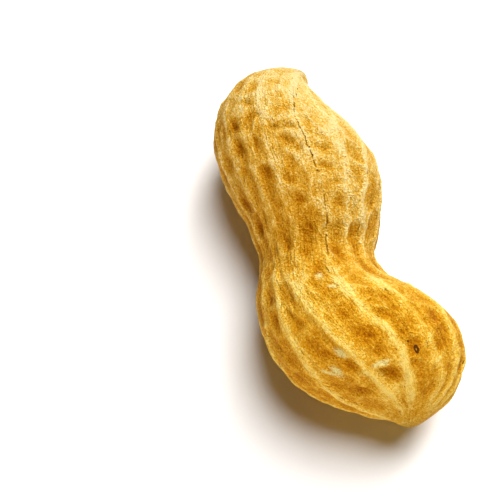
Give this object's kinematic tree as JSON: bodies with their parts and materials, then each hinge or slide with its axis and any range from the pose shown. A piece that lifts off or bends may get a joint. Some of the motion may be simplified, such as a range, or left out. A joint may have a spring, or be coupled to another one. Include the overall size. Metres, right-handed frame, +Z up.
{
  "type": "peanut in shell",
  "caption": "Whole two-lobed peanut in its dry ribbed shell, lying on its back, with a pinched waist, a stalk scar and a small beak.",
  "frame": {"origin": "centre of the bounding box in plan, on the surface the pod rests on", "axes": "+Z up, +Y along the pod towards the stalk end, +X towards the hollow side of its bend"},
  "size_m": [0.0185, 0.042, 0.0163],
  "materials": {
    "shell": "dry, matt, fibrous shell"
  },
  "bodies": {
    "root": {"pod": "shell"}
  },
  "joints": []
}
